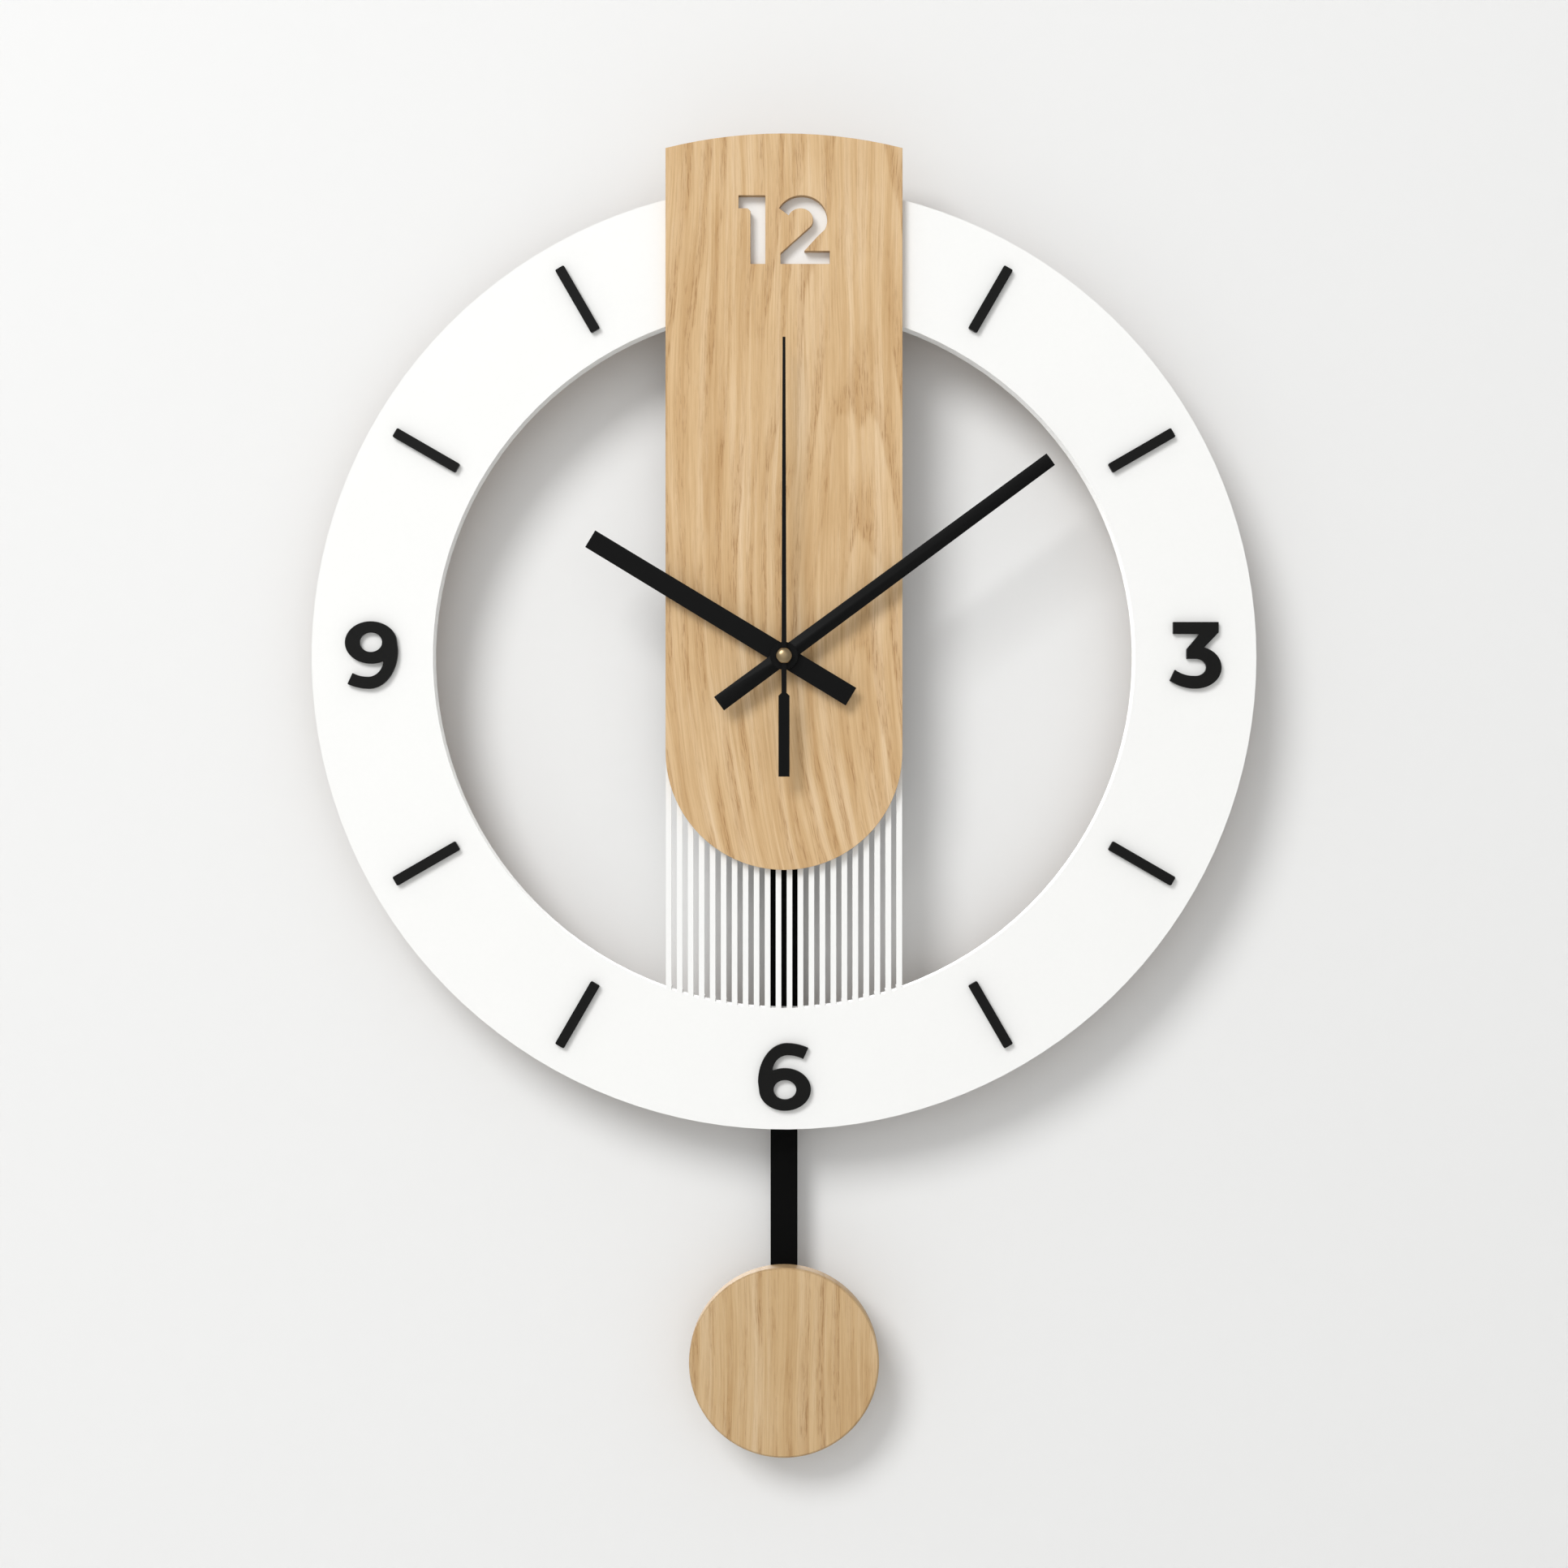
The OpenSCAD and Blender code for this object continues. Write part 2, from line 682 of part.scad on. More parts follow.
module hand_cap() {
    color(brass_c) translate([0, -second_d - 0.4, 0]) rotate([90, 0, 0]) rotate_extrude()
        polygon(concat([[0, 0.5], [second_r, 0.5], [second_r, 0], [2.45, 0], [2.45, 0.5]],
            [for (i = [1:12]) [2.45 * cos(7.5 * i), 0.5 + 1.2 * sin(7.5 * i)]]));
}

// pendulum drive
module drive_circuit() color("#2F6B46") difference() {
    block(-21, 21, -41, -31.2, 1.9, 2.9);
    for (p = drive_board_at) bar(1, 4, 0.6, p);
    bar(1, 4, 1.9, [0, -pivot_dn]);
}

module drive_chip() color(black) bar(2.9, 3.7, 2.2, [12, -36]);

module drive_coil() color("#B5652B") difference() {
    bar(wall_t, 4.4, 5.2, [0, -46.8]);
    bar(wall_t - e, 5, 1.6, [0, -46.8]);
}

module pivot_pin() color(steel) bar(0.9, cover_d + 0.9, pin_r, [0, -pivot_dn]);

module pendulum_lever() {
    color(natural) difference() {
        union() {
            bar(5.8, 9, 3, [0, -pivot_dn]);
            block(-2.6, 2.6, -62.8, -pivot_dn, 6.5, 9);
            bar(6.5, 9, 3.8, [0, -46.8]);
            bar(8.9, 9 + rod_t + 1.2, 1.5, [0, -60]);
            bar(9 + rod_t + 0.2, 9 + rod_t + 1.2, 2.1, [0, -60]);
        }
        bar(5, 10, pin_r + run, [0, -pivot_dn]);
        bar(6, 8.2, 3, [0, -46.8]);
    }
}

module drive_magnet() color("#8C8F94") bar(6.2, 8.2, 3, [0, -46.8]);

rod_d = 9;
rod_top = -56.6;

module pendulum_rod() {
    color(black) plate(rod_d, rod_t) difference() {
        translate([-rod_w / 2, -bob_dn - 14]) square([rod_w, rod_top + bob_dn + 14]);
        translate([0, -60]) circle(1.5);
        translate([-1.5, -63.5]) square([3, 3.5]);
        translate([0, -64.5]) circle(2.3);
        for (s = [-1, 1]) translate([0, -bob_dn + 9 * s]) circle(1);
    }
}

module bob() {
    d = rod_d + rod_t;
    color(oak) difference() {
        translate([0, -d, -bob_dn]) rotate([90, 0, 0]) rotate_extrude($fn = 180)
            polygon([[0, 0], [bob_d / 2 - 0.5, 0], [bob_d / 2, 0.5], [bob_d / 2, bob_t - 0.6],
                [bob_d / 2 - 0.6, bob_t], [0, bob_t]]);
        for (s = [-1, 1]) bar(d - e, d + 5.5, 1, [0, -bob_dn + 9 * s]);
    }
}

module bob_screws() {
    color(steel) for (s = [-1, 1]) {
        z = -bob_dn + 9 * s;
        difference() {
            union() {
                bar(rod_d - 1, rod_d, 2, [0, z]);
                bar(rod_d - 0.5, rod_d + rod_t + 5.4, 1, [0, z]);
            }
            block(-1.3, 1.3, z - 0.25, z + 0.25, rod_d - 1.1, rod_d - 0.4);
            block(-0.25, 0.25, z - 1.3, z + 1.3, rod_d - 1.1, rod_d - 0.4);
        }
    }
}

dial_board();
centre_panel();
numeral_3();
numeral_6();
numeral_9();
hour_bars();
panel_screws();
rear_case();
front_cover();
threaded_bushing();
fixing_washer();
hex_nut();
case_screws();
battery();
contact_positive();
contact_negative();
clock_circuit();
clock_chip();
quartz_crystal();
motor_bobbin();
motor_winding();
stator();
rotor_magnet();
rotor_pinion();
fifth_wheel();
second_wheel();
second_arbor();
third_wheel();
centre_wheel();
minute_tube();
minute_wheel();
hour_wheel();
setting_knob();
train_bridge();
hour_hand();
minute_hand();
second_hand();
hand_cap();
drive_circuit();
drive_chip();
drive_coil();
pivot_pin();
pendulum_lever();
drive_magnet();
pendulum_rod();
bob();
bob_screws();
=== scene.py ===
import json
import math

import bmesh
import bpy
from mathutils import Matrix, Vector

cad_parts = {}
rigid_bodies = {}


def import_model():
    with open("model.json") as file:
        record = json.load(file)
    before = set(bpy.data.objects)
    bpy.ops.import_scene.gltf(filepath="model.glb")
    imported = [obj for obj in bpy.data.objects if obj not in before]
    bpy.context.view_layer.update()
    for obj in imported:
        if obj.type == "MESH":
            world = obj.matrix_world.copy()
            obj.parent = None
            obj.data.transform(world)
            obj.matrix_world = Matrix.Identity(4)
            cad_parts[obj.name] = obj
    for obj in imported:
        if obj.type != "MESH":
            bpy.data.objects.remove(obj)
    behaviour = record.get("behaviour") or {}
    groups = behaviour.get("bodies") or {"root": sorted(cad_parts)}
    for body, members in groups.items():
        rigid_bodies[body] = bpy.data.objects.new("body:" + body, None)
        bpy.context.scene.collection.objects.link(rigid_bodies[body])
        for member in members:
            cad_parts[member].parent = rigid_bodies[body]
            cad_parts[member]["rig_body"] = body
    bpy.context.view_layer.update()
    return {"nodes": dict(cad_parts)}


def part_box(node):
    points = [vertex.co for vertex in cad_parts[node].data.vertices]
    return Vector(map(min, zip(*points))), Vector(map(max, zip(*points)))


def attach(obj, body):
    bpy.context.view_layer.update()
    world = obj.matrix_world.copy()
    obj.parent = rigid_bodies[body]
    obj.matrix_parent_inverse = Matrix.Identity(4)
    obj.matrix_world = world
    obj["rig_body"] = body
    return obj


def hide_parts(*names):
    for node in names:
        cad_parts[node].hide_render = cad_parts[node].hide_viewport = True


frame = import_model()
scene = bpy.context.scene
scene.view_settings.view_transform = "Standard"

MM = 0.001
CAMERA_DISTANCE = 1.026  # from the wall
CAMERA_HEIGHT = -0.0403  # from the hands' axis
WALL_DEPTH = 0.0004  # just behind the back of the movement case
WALL_HALF_WIDTH, WALL_TOP = 4, 3
FLOOR_HEIGHT, FLOOR_HALF_WIDTH = -1.1, 6
MERGE_DISTANCE = 2e-6
FLAT_ANGLE = math.radians(0.5)
SHARP_ANGLE = math.radians(35)
CREASE_ANGLE = math.radians(36)


# ---------------------------------------------------------------- camera
def make_camera():
    """Looks square at the wall, level with the middle of the clock."""
    data = bpy.data.cameras.new("camera")
    data.sensor_width = 36
    data.lens = 72.3
    data.clip_start, data.clip_end = 0.05, 50
    cam = bpy.data.objects.new("camera", data)
    cam.location = (0, -CAMERA_DISTANCE, CAMERA_HEIGHT)
    cam.rotation_euler = (math.radians(90), 0, 0)
    scene.collection.objects.link(cam)
    scene.camera = cam


make_camera()


# ---------------------------------------------------------------- node graphs
class Graph:
    """A small writer of shader node trees, one material each."""

    def __init__(self, name):
        self.mat = bpy.data.materials.new(name)
        self.mat.use_nodes = True
        self.nt = self.mat.node_tree
        self.bsdf = self.nt.nodes["Principled BSDF"]
        coord = self.node("ShaderNodeTexCoord")
        # object coordinates in millimetres
        self.pos = self.vmath("SCALE", coord.outputs["Object"], scale=1000.0)
        split = self.node("ShaderNodeSeparateXYZ")
        self.link(self.pos, split.inputs[0])
        self.x, self.y, self.z = split.outputs
        # 1 or -1 on faces square to the depth, 0 on the sides
        normal = self.node("ShaderNodeSeparateXYZ")
        self.link(coord.outputs["Normal"], normal.inputs[0])
        self.facing = normal.outputs[1]

    def node(self, kind):
        return self.nt.nodes.new(kind)

    def link(self, a, b):
        self.nt.links.new(a, b)

    def put(self, value, socket):
        if hasattr(value, "is_linked"):
            self.link(value, socket)
        else:
            socket.default_value = value

    def math(self, op, a, b=0.0, c=0.0):
        n = self.node("ShaderNodeMath")
        n.operation = op
        for v, s in zip((a, b, c), n.inputs):
            self.put(v, s)
        return n.outputs[0]

    def vmath(self, op, a, b=None, scale=None):
        n = self.node("ShaderNodeVectorMath")
        n.operation = op
        self.put(a, n.inputs[0])
        if b is not None:
            self.put(b, n.inputs[1])
        if scale is not None:
            self.put(scale, n.inputs["Scale"])
        return n.outputs[0]

    def vec(self, x, y, z):
        n = self.node("ShaderNodeCombineXYZ")
        for v, s in zip((x, y, z), n.inputs):
            self.put(v, s)
        return n.outputs[0]

    def noise(self, vector, detail=2.0, rough=0.5, scale=1.0):
        n = self.node("ShaderNodeTexNoise")
        self.put(vector, n.inputs["Vector"])
        n.inputs["Scale"].default_value = scale
        n.inputs["Detail"].default_value = detail
        n.inputs["Roughness"].default_value = rough
        return n.outputs["Fac"]

    def centred(self, value, swing):
        """A noise value spread evenly about zero."""
        return self.math("MULTIPLY_ADD", value, swing, -swing / 2)

    def cells(self, vector, feature="F1", scale=1.0):
        n = self.node("ShaderNodeTexVoronoi")
        n.feature = feature
        self.put(vector, n.inputs["Vector"])
        n.inputs["Scale"].default_value = scale
        return n.outputs["Distance"]

    def span(self, value, lo, hi, out_lo=0.0, out_hi=1.0):
        n = self.node("ShaderNodeMapRange")
        n.interpolation_type = "SMOOTHSTEP"
        for v, s in zip((value, lo, hi, out_lo, out_hi), n.inputs):
            self.put(v, s)
        return n.outputs[0]

    def ramp(self, value, stops):
        n = self.node("ShaderNodeValToRGB")
        e = n.color_ramp.elements
        while len(e) < len(stops):
            e.new(0.5)
        for el, (at, col) in zip(e, stops):
            el.position = at
            el.color = (*col, 1.0)
        self.put(value, n.inputs[0])
        return n.outputs[0]

    def mix(self, fac, a, b, blend="MIX"):
        n = self.node("ShaderNodeMix")
        n.data_type = "RGBA"
        n.blend_type = blend
        self.put(fac, n.inputs[0])
        for v, s in zip((a, b), (n.inputs[6], n.inputs[7])):
            self.put((*v, 1.0) if isinstance(v, tuple) else v, s)
        return n.outputs[2]

    def shade(self, colour, tone):
        """The colour made lighter or darker by the tone, which varies about one."""
        return self.mix(1.0, colour, self.vec(tone, tone, tone), "MULTIPLY")

    def bump(self, height, strength, distance):
        n = self.node("ShaderNodeBump")
        n.inputs["Strength"].default_value = strength
        n.inputs["Distance"].default_value = distance
        self.link(height, n.inputs["Height"])
        self.link(n.outputs[0], self.bsdf.inputs["Normal"])

    def set(self, **sockets):
        for name, value in sockets.items():
            socket = self.bsdf.inputs[name.replace("_", " ").title().replace("Ior", "IOR")]
            self.put((*value, 1.0) if isinstance(value, tuple) and len(value) == 3 else value, socket)


# ---------------------------------------------------------------- materials
def oak(name, pith_x, pith_depth, seed, slant, tone=(1.0, 1.0, 1.0)):
    """Plain-sawn oak with upright grain, growth rings round a pith that slants behind the
    face, open pores in the early wood, fine fibres, and a matt lacquer."""
    g = Graph(name)
    lean_start, pith_slope, ring_gap = 10.0, 0.12, 5.0

    def grain(across, per_mm, along_per_mm, layer=None, detail=2.0, rough=0.5):
        """Noise drawn out along the grain. A numbered layer is the same all through the depth."""
        depth = g.math("MULTIPLY", g.y, per_mm) if layer is None else seed + layer
        place = g.vec(g.math("MULTIPLY", across, per_mm), depth, g.math("MULTIPLY", g.z, along_per_mm))
        return g.noise(place, detail, rough)

    def tint(red, green, blue):
        return (red * tone[0], green * tone[1], blue * tone[2])

    # the grain wanders, and leans more and more below the hands
    low = g.math("MINIMUM", g.math("ADD", g.z, -lean_start), 0.0)
    lean = g.math("MULTIPLY", g.math("MULTIPLY", low, low), -slant)
    drift = grain(g.x, 0.10, 0.016, 7)
    x = g.math("ADD", g.math("ADD", g.x, lean), g.centred(grain(g.x, 0.022, 0.006, 0, 1.0), 12.0))
    x = g.math("ADD", x, g.centred(drift, 2.6))

    # growth rings, and the porous early wood of each
    across = g.math("SUBTRACT", x, pith_x)
    depth = g.math("MULTIPLY_ADD", g.z, -pith_slope, pith_depth)
    depth = g.math("ADD", depth, g.math("MULTIPLY", g.y, 0.9))
    depth = g.math("ADD", depth, g.centred(drift, 7.0))
    radius = g.math("ADD", g.math("MULTIPLY", across, across), g.math("MULTIPLY", depth, depth))
    radius = g.math("ADD", g.math("SQRT", radius), g.centred(grain(g.x, 0.5, 0.07, 5), 1.0))
    part = g.math("FRACT", g.math("MULTIPLY", radius, 1 / ring_gap))
    early = g.math("MULTIPLY", g.span(part, 0.0, 0.12), g.span(part, 0.8, 0.15))
    early = g.math("MULTIPLY", early, g.span(grain(g.x, 0.09, 0.02, 3), 0.38, 0.62, 0.15, 1.0))

    fibre = grain(x, 1.9, 0.028, None, 5.0, 0.7)
    fleck = grain(x, 1.3, 0.07)
    band = grain(x, 0.30, 0.006, 0, 4.0, 0.6)
    blotch = grain(g.x, 0.045, 0.018, 1)
    dash = grain(x, 2.4, 0.16, None, 3.0, 0.6)
    pore = g.math("MULTIPLY", g.span(dash, 0.50, 0.64), g.math("MULTIPLY_ADD", early, 0.88, 0.12))

    ground = g.math("MULTIPLY_ADD", band, 0.7, g.math("MULTIPLY", blotch, 0.3))
    wood = g.ramp(ground, [(0.36, tint(0.565, 0.357, 0.168)),
                           (0.5, tint(0.678, 0.466, 0.250)),
                           (0.64, tint(0.755, 0.555, 0.340))])
    wood = g.mix(g.math("MULTIPLY", early, 0.44), wood, tint(0.455, 0.250, 0.095))
    wood = g.mix(g.span(fibre, 0.44, 0.66, 0.0, 0.40), wood, tint(0.455, 0.262, 0.105))
    wood = g.mix(g.span(fleck, 0.56, 0.72, 0.0, 0.14), wood, tint(0.76, 0.58, 0.38))
    wood = g.mix(g.math("MULTIPLY", pore, 0.66), wood, tint(0.33, 0.172, 0.062))

    # the cut edges soak up the lacquer and turn darker
    edge = g.span(g.math("ABSOLUTE", g.facing), 0.9, 0.5, 0.0, 0.6)
    wood = g.mix(edge, wood, tint(0.36, 0.235, 0.12))
    g.set(base_color=wood, roughness=g.math("MULTIPLY_ADD", fibre, 0.14, 0.62), specular_ior_level=0.3)
    g.bump(g.math("SUBTRACT", g.math("MULTIPLY", fibre, 0.35), pore), 0.3, 0.0001)
    return g.mat


def lacquer(name, colour, rough, grain, speckle, bump, shine):
    """Sprayed satin coat: a very fine orange peel and barely uneven tone."""
    g = Graph(name)
    peel = g.noise(g.pos, 3.0, 0.55, scale=grain)
    cloud = g.noise(g.pos, 2.0, 0.5, scale=0.03)
    tone = g.math("ADD", g.centred(peel, speckle), g.math("MULTIPLY_ADD", cloud, speckle, 1.0 - speckle / 2))
    g.set(base_color=g.shade(colour, tone), roughness=g.math("MULTIPLY_ADD", peel, 0.10, rough - 0.05),
          specular_ior_level=shine)
    g.bump(peel, bump, 0.00004)
    return g.mat


def moulded(name, colour, rough, bump):
    """Moulded plastic with a fine spark-eroded texture."""
    g = Graph(name)
    grit = g.noise(g.pos, 4.0, 0.65, scale=3.0)
    cloud = g.noise(g.pos, 2.0, 0.5, scale=0.06)
    tone = g.math("ADD", g.centred(grit, 0.18), g.math("MULTIPLY_ADD", cloud, 0.10, 0.95))
    g.set(base_color=g.shade(colour, tone), roughness=g.math("MULTIPLY_ADD", grit, 0.16, rough - 0.08))
    g.bump(grit, bump, 0.00003)
    return g.mat


def metal(name, colour, rough, scratch=0.2, stretch=(0.4, 0.4, 6.0)):
    """Plated or polished metal with faint rubbing marks."""
    g = Graph(name)
    marks = g.noise(g.vmath("MULTIPLY", g.pos, stretch), 4.0, 0.6)
    stain = g.noise(g.pos, 2.0, 0.5, scale=0.25)
    tone = g.math("ADD", g.centred(marks, 0.10), g.math("MULTIPLY_ADD", stain, 0.12, 0.94))
    g.set(base_color=g.shade(colour, tone), metallic=1.0,
          roughness=g.math("MULTIPLY_ADD", marks, scratch, rough))
    g.bump(marks, 0.1, 0.00002)
    return g.mat


def cell_sleeve(name, node):
    """A plain film sleeve on the cell, with bare metal at both ends."""
    g = Graph(name)
    low, high = (corner.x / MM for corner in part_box(node))
    bare = g.math("MAXIMUM", g.span(g.x, low + 1.6, low + 1.3), g.span(g.x, high - 1.7, high - 1.4))
    band = g.span(g.x, high - 13.2, high - 13.0)
    cloud = g.noise(g.pos, 2.0, scale=0.4)
    film = g.mix(band, (0.035, 0.12, 0.075), (0.50, 0.50, 0.47))
    film = g.mix(g.math("MULTIPLY", cloud, 0.12), film, (0.02, 0.05, 0.03))
    g.set(base_color=g.mix(bare, film, (0.66, 0.66, 0.64)), metallic=bare,
          roughness=g.math("MULTIPLY_ADD", cloud, 0.15, 0.26))
    g.bump(cloud, 0.1, 0.00005)
    return g.mat


def laminate(name):
    """Solder mask over laminate, with faint copper tracks under it."""
    g = Graph(name)
    track = g.span(g.cells(g.pos, "DISTANCE_TO_EDGE", 0.35), 0.09, 0.06)
    weave = g.noise(g.pos, 2.0, scale=2.5)
    mask = g.mix(g.math("MULTIPLY", weave, 0.2), (0.016, 0.105, 0.045), (0.01, 0.05, 0.02))
    g.set(base_color=g.mix(track, mask, (0.05, 0.21, 0.09)), roughness=0.35)
    g.bump(track, 0.4, 0.00005)
    return g.mat


def winding(name, upright):
    """Fine enamelled wire wound round an upright axis, or round one square to the wall."""
    g = Graph(name)
    wire = 0.24  # millimetres across
    along = g.z if upright else g.y
    turns = g.math("SINE", g.math("MULTIPLY", along, 2 * math.pi / wire))
    stain = g.noise(g.pos, 2.0, scale=0.8)
    # the dark stripes between turns are painted shade in the grooves between wires; the bump below gives the
    # turns their real relief
    colour = g.mix(g.span(turns, -1.0, 1.0), (0.19, 0.05, 0.018), (0.62, 0.25, 0.10))
    g.set(base_color=g.mix(g.math("MULTIPLY", stain, 0.25), colour, (0.35, 0.12, 0.04)), metallic=0.85,
          roughness=0.34)
    g.bump(turns, 0.6, 0.00006)
    return g.mat


def painted_board():
    """White satin lacquer on fibreboard; the back face is left raw."""
    g = Graph("painted_board")
    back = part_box("dial_board")[1].y / MM
    peel = g.noise(g.pos, 3.0, 0.55, scale=0.9)
    cloud = g.noise(g.pos, 2.0, 0.5, scale=0.03)
    fibre = g.noise(g.pos, 5.0, 0.7, scale=1.6)
    fleck = g.noise(g.vmath("MULTIPLY", g.pos, (1.0, 1.0, 2.6)), 4.0, 0.7, scale=0.8)
    raw = g.span(g.y, back - 0.06, back - 0.01)
    tone = g.math("ADD", g.centred(peel, 0.02), g.math("MULTIPLY_ADD", cloud, 0.02, 0.99))
    paint = g.shade((0.90, 0.90, 0.885), tone)
    board = g.mix(fibre, (0.25, 0.16, 0.09), (0.36, 0.25, 0.15))
    board = g.mix(g.span(fleck, 0.55, 0.75, 0.0, 0.5), board, (0.16, 0.095, 0.05))
    gloss = g.math("MULTIPLY_ADD", peel, 0.10, 0.55)
    g.set(base_color=g.mix(raw, paint, board), roughness=g.math("MULTIPLY_ADD", raw, 0.4, gloss))
    fluff = g.math("MULTIPLY", g.math("MULTIPLY", fibre, raw), 2.0)
    g.bump(g.math("ADD", g.math("MULTIPLY", peel, 0.3), fluff), 0.3, 0.00004)
    return g.mat


oak_panel = oak("oak_panel", 24.0, 21.0, 3.1, 0.0018)
oak_bob = oak("oak_bob", 26.0, -9.0, 11.7, 0.0, (0.87, 0.87, 0.85))
white = painted_board()
mark_black = lacquer("black_acrylic", (0.005, 0.005, 0.0047), 0.42, 1.4, 0.25, 0.08, shine=0.12)
hand_black = lacquer("black_paint", (0.0022, 0.0023, 0.0023), 0.38, 2.0, 0.3, 0.10, shine=0.09)
rod_black = lacquer("black_rod", (0.0016, 0.0016, 0.0015), 0.5, 1.6, 0.3, 0.10, shine=0.05)
dark_plastic = moulded("dark_plastic", (0.032, 0.033, 0.036), 0.52, bump=0.3)
natural_plastic = moulded("natural_plastic", (0.74, 0.71, 0.62), 0.38, bump=0.08)
resin = moulded("black_resin", (0.012, 0.012, 0.012), 0.30, bump=0.15)
steel = metal("bright_steel", (0.62, 0.62, 0.63), 0.24)
magnet = metal("sintered_magnet", (0.16, 0.16, 0.17), 0.42, scratch=0.25, stretch=(1.5, 1.5, 1.5))
brass = metal("polished_brass", (0.300, 0.225, 0.130), 0.26, scratch=0.12, stretch=(1.2, 1.2, 1.2))
sleeve = cell_sleeve("cell_sleeve", "battery")
green = laminate("green_laminate")
copper_upright = winding("copper_upright", upright=True)
copper_round = winding("copper_round", upright=False)

LOOK = {
    "dial_board": white, "centre_panel": oak_panel, "bob": oak_bob, "pendulum_rod": rod_black,
    "hand_cap": brass, "threaded_bushing": brass, "hex_nut": brass, "minute_tube": brass,
    "battery": sleeve, "motor_winding": copper_upright, "drive_coil": copper_round,
}
for look, names in (
    (mark_black, ("numeral_3", "numeral_6", "numeral_9", "hour_bars")),
    (hand_black, ("hour_hand", "minute_hand", "second_hand")),
    (dark_plastic, ("rear_case", "front_cover", "setting_knob")),
    (green, ("clock_circuit", "drive_circuit")),
    (resin, ("clock_chip", "drive_chip")),
    (magnet, ("rotor_magnet", "drive_magnet")),
    (natural_plastic, ("motor_bobbin", "rotor_pinion", "fifth_wheel", "second_wheel", "third_wheel",
                       "centre_wheel", "minute_wheel", "hour_wheel", "train_bridge", "pendulum_lever")),
):
    LOOK.update(dict.fromkeys(names, look))

# nodes whose edges are seen: edge radius in millimetres
ROUNDED = {
    "dial_board": 0.3, "centre_panel": 0.3, "numeral_3": 0.12, "numeral_6": 0.12, "numeral_9": 0.12,
    "hour_bars": 0.15, "hour_hand": 0.08, "minute_hand": 0.14, "second_hand": 0.06, "pendulum_rod": 0.15,
    "bob": 0.12, "rear_case": 0.25, "front_cover": 0.25, "setting_knob": 0.12, "pendulum_lever": 0.15,
}


def rounded(node, width):
    """A copy of a CAD node with its sharp edges broken, which is shown in its place."""
    source = frame["nodes"][node]
    bm = bmesh.new()
    bm.from_mesh(source.data)
    bmesh.ops.remove_doubles(bm, verts=bm.verts, dist=MERGE_DISTANCE)
    bmesh.ops.dissolve_limit(bm, angle_limit=FLAT_ANGLE, verts=bm.verts, edges=bm.edges)
    sharp = [e for e in bm.edges if len(e.link_faces) == 2 and e.calc_face_angle() > SHARP_ANGLE]
    bmesh.ops.bevel(bm, geom=sharp, offset=width * MM, segments=3, profile=0.5, affect="EDGES",
                    clamp_overlap=True)
    for face in bm.faces:
        face.smooth = True
    for edge in bm.edges:
        edge.smooth = len(edge.link_faces) != 2 or edge.calc_face_angle() < CREASE_ANGLE
    mesh = bpy.data.meshes.new(node + "_shape")
    bm.to_mesh(mesh)
    bm.free()
    mesh.materials.append(LOOK.get(node, steel))
    piece = bpy.data.objects.new(node + "_shape", mesh)
    scene.collection.objects.link(piece)
    weighted = piece.modifiers.new("normals", "WEIGHTED_NORMAL")
    weighted.weight = 80
    weighted.keep_sharp = True
    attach(piece, source["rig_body"])
    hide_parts(node)


for name, node in frame["nodes"].items():
    node.data.materials.clear()
    node.data.materials.append(LOOK.get(name, steel))
for name, width in ROUNDED.items():
    rounded(name, width)


# ---------------------------------------------------------------- stage
def plane(name, corners, material):
    mesh = bpy.data.meshes.new(name)
    mesh.from_pydata(corners, [], [(0, 1, 2, 3)])
    mesh.materials.append(material)
    o = bpy.data.objects.new(name, mesh)
    scene.collection.objects.link(o)
    return o


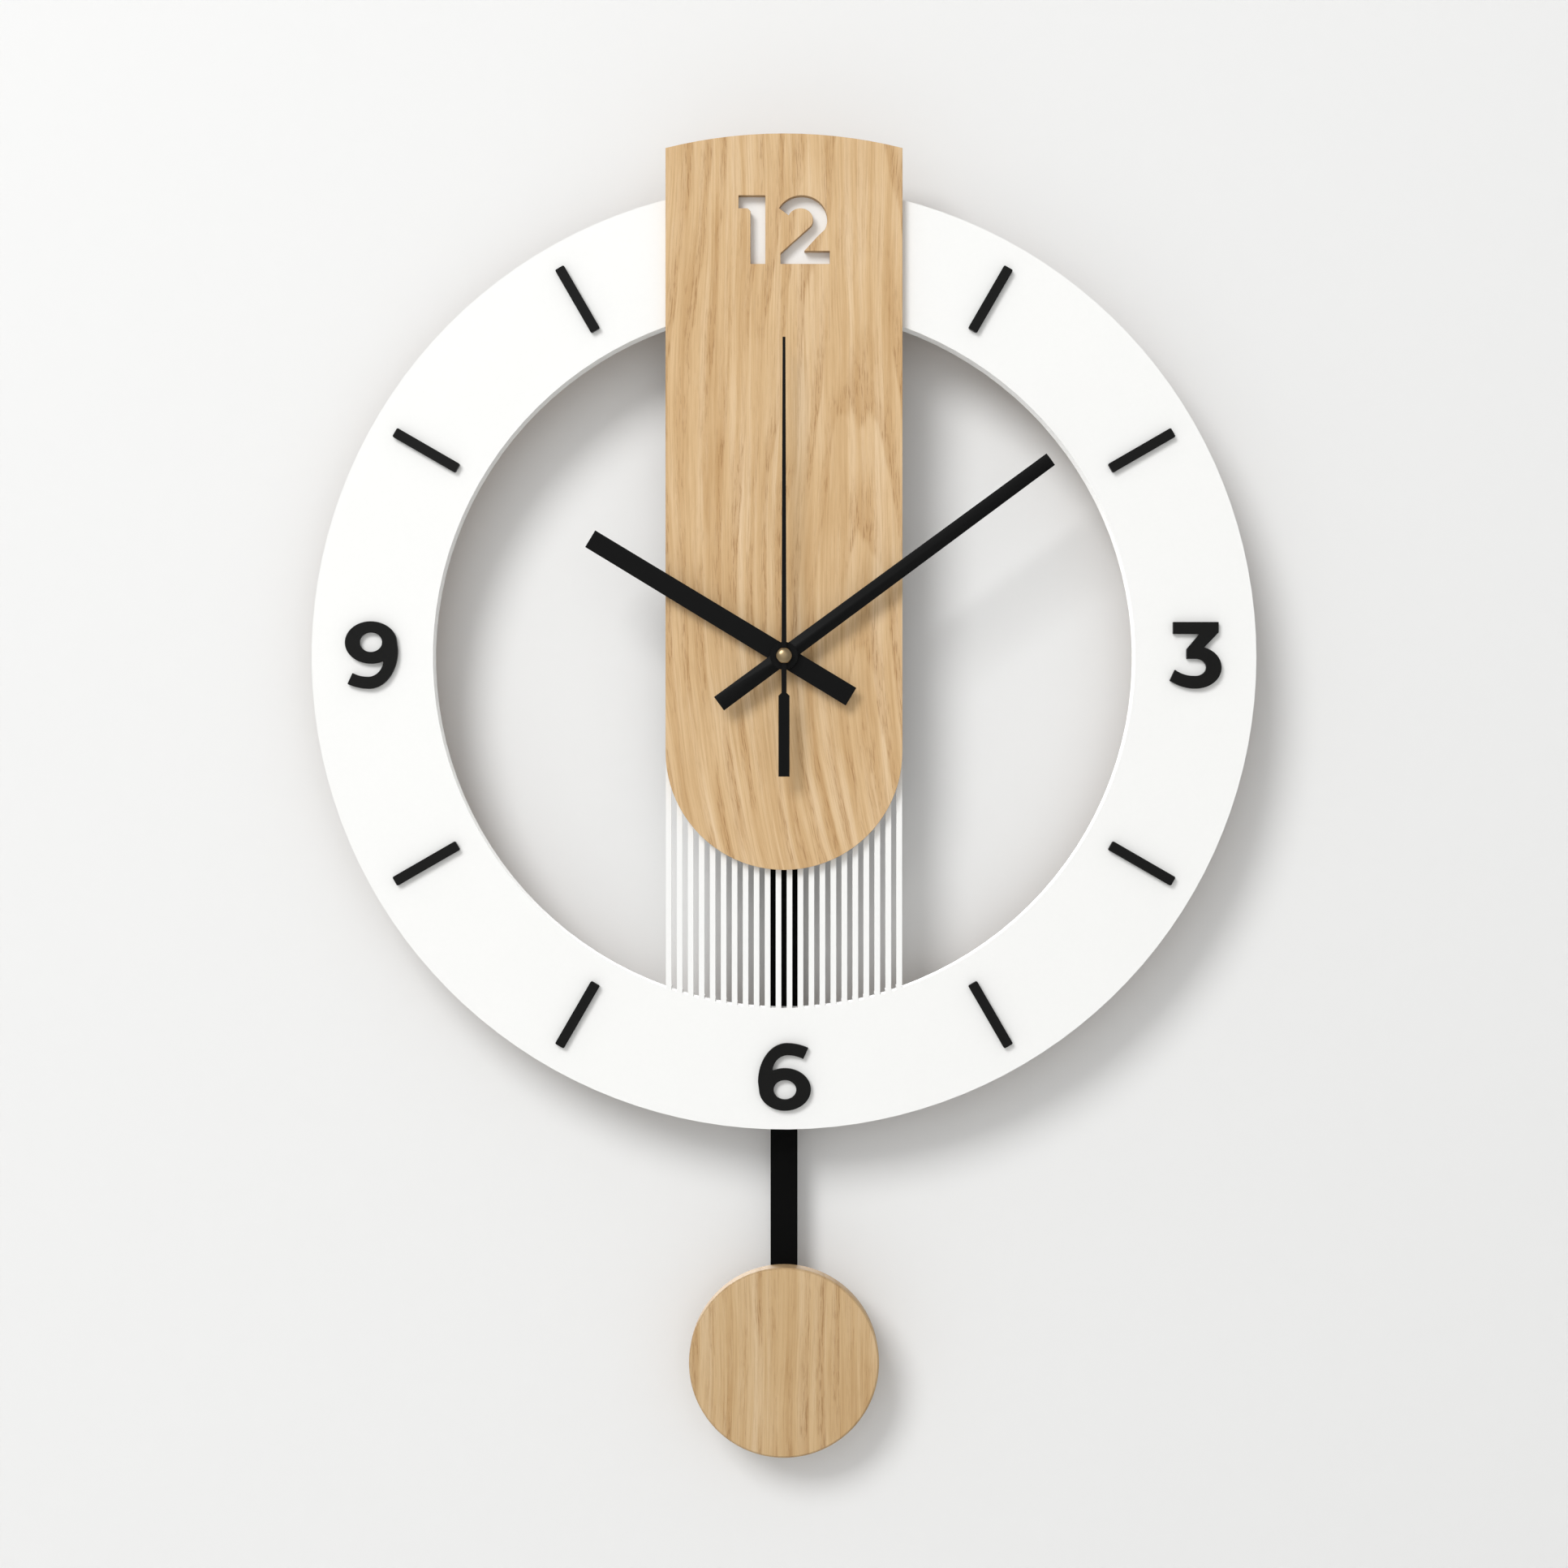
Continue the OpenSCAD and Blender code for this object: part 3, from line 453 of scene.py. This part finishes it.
def wall_paint():
    """Pale matt wall, seen only from the room side."""
    g = Graph("wall_paint")
    roller = g.noise(g.pos, 3.0, 0.5, scale=0.35)
    g.set(base_color=(0.825, 0.825, 0.82), roughness=0.75)
    g.bump(roller, 0.05, 0.0001)
    clear = g.node("ShaderNodeBsdfTransparent")
    side = g.node("ShaderNodeNewGeometry")
    both = g.node("ShaderNodeMixShader")
    out = g.nt.nodes["Material Output"]
    g.link(side.outputs["Backfacing"], both.inputs[0])
    g.link(g.bsdf.outputs[0], both.inputs[1])
    g.link(clear.outputs[0], both.inputs[2])
    g.link(both.outputs[0], out.inputs["Surface"])
    return g.mat


def floor_paint():
    g = Graph("floor_paint")
    cloud = g.noise(g.pos, 2.0, scale=0.02)
    g.set(base_color=g.mix(cloud, (0.76, 0.76, 0.75), (0.80, 0.80, 0.79)), roughness=0.6)
    return g.mat


def make_wall():
    side, top, bottom = WALL_HALF_WIDTH, WALL_TOP, FLOOR_HEIGHT
    corners = [(-side, WALL_DEPTH, bottom), (side, WALL_DEPTH, bottom),
               (side, WALL_DEPTH, top), (-side, WALL_DEPTH, top)]
    return plane("wall", corners, wall_paint())


def make_floor():
    side, height = FLOOR_HALF_WIDTH, FLOOR_HEIGHT
    corners = [(-side, -side, height), (side, -side, height), (side, side, height), (-side, side, height)]
    return plane("floor", corners, floor_paint())


def disk_light(name, place, aim, radius, power):
    data = bpy.data.lights.new(name, "AREA")
    data.shape = "DISK"
    data.size = 2 * radius
    data.energy = power
    o = bpy.data.objects.new(name, data)
    o.location = place
    o.rotation_euler = (Vector(aim) - Vector(place)).to_track_quat("-Z", "Y").to_euler()
    scene.collection.objects.link(o)
    return o


def light_back(wall):
    """Light for the back of the clock. It shines through the wall, and lights only
    what it meets first, so that none of it reaches the front."""
    behind = disk_light("behind", (-0.5, 2.0, 0.7), (0, 0, -0.05), 0.9, 60)
    behind.data.cycles.max_bounces = 0
    blockers = bpy.data.collections.new("behind_blockers")
    blockers.objects.link(wall)
    behind.light_linking.blocker_collection = blockers
    blockers.collection_objects[0].light_linking.link_state = "EXCLUDE"


def light_room(strength):
    world = bpy.data.worlds.new("room")
    world.use_nodes = True
    background = world.node_tree.nodes["Background"]
    background.inputs["Color"].default_value = (1, 1, 1, 1)
    background.inputs["Strength"].default_value = strength
    scene.world = world


wall = make_wall()
make_floor()
disk_light("key", (-1.65, -3.0, 2.1), (-1.65, 0, 2.1), 0.99, 109)
disk_light("fill", (-0.2, -2.0, 0.3), (-0.2, 0, 0.3), 1.0, 6)
light_back(wall)
light_room(0.52)
